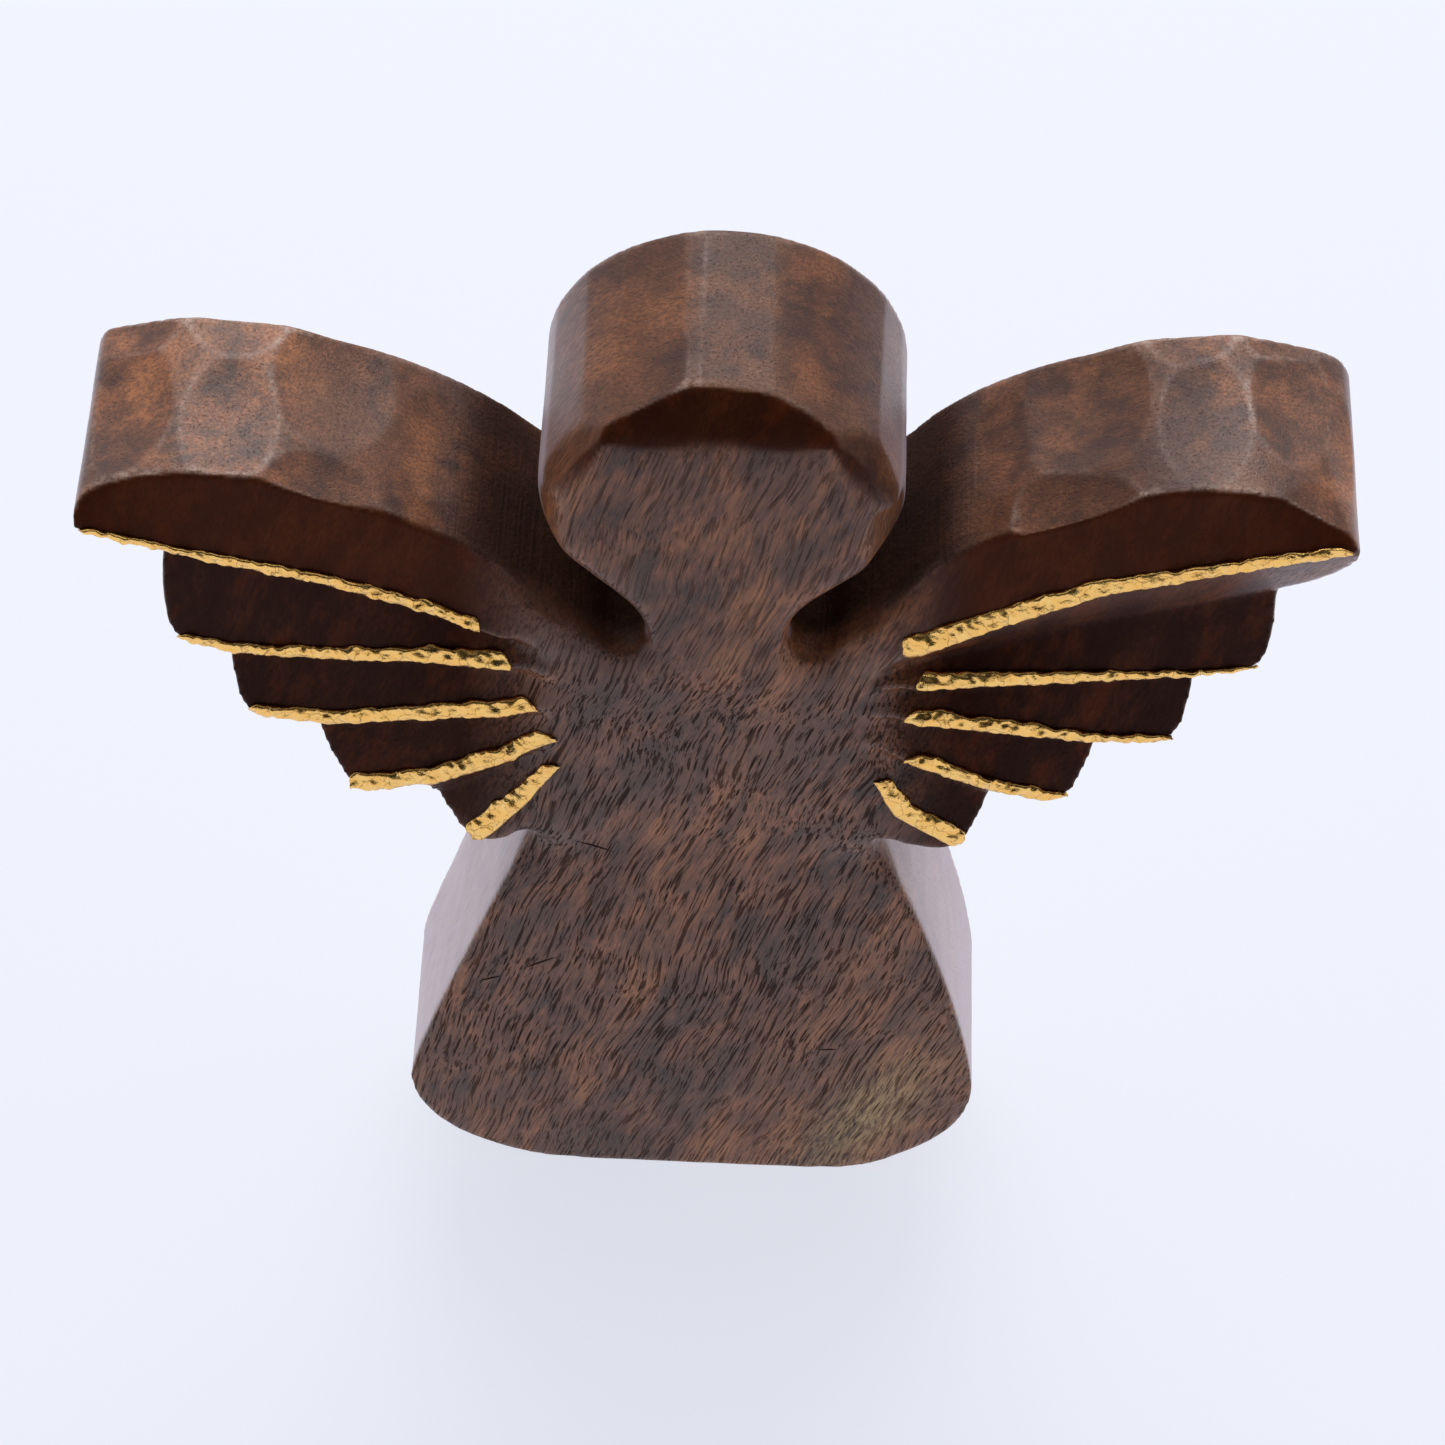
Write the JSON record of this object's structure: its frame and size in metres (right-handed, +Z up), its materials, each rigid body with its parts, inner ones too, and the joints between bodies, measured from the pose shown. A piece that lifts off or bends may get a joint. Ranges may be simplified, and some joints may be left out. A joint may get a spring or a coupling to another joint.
{
  "type": "carved wooden angel figurine",
  "caption": "Flat standing angel carved from one dark wooden plank: plain round head, flared gown, outspread stepped wings with gold leaf along the feather edges.",
  "frame": {"origin": "on the resting surface, under the middle of the figurine's width and depth", "axes": "+Z up, the carved front faces -Y, +X towards the viewer's right when looking at the front"},
  "size_m": [0.1292, 0.0243, 0.152],
  "materials": {
    "carved_wood": "hand carved and sanded dark brown hardwood with a thin satin wax finish, end grain pores on top",
    "gold_leaf": "crinkled bright gold leaf"
  },
  "bodies": {
    "root": {"carved_figure": "carved_wood", "gold_leaf_left_1": "gold_leaf", "gold_leaf_left_2": "gold_leaf", "gold_leaf_left_3": "gold_leaf", "gold_leaf_left_4": "gold_leaf", "gold_leaf_left_5": "gold_leaf", "gold_leaf_right_1": "gold_leaf", "gold_leaf_right_2": "gold_leaf", "gold_leaf_right_3": "gold_leaf", "gold_leaf_right_4": "gold_leaf", "gold_leaf_right_5": "gold_leaf"}
  },
  "joints": []
}
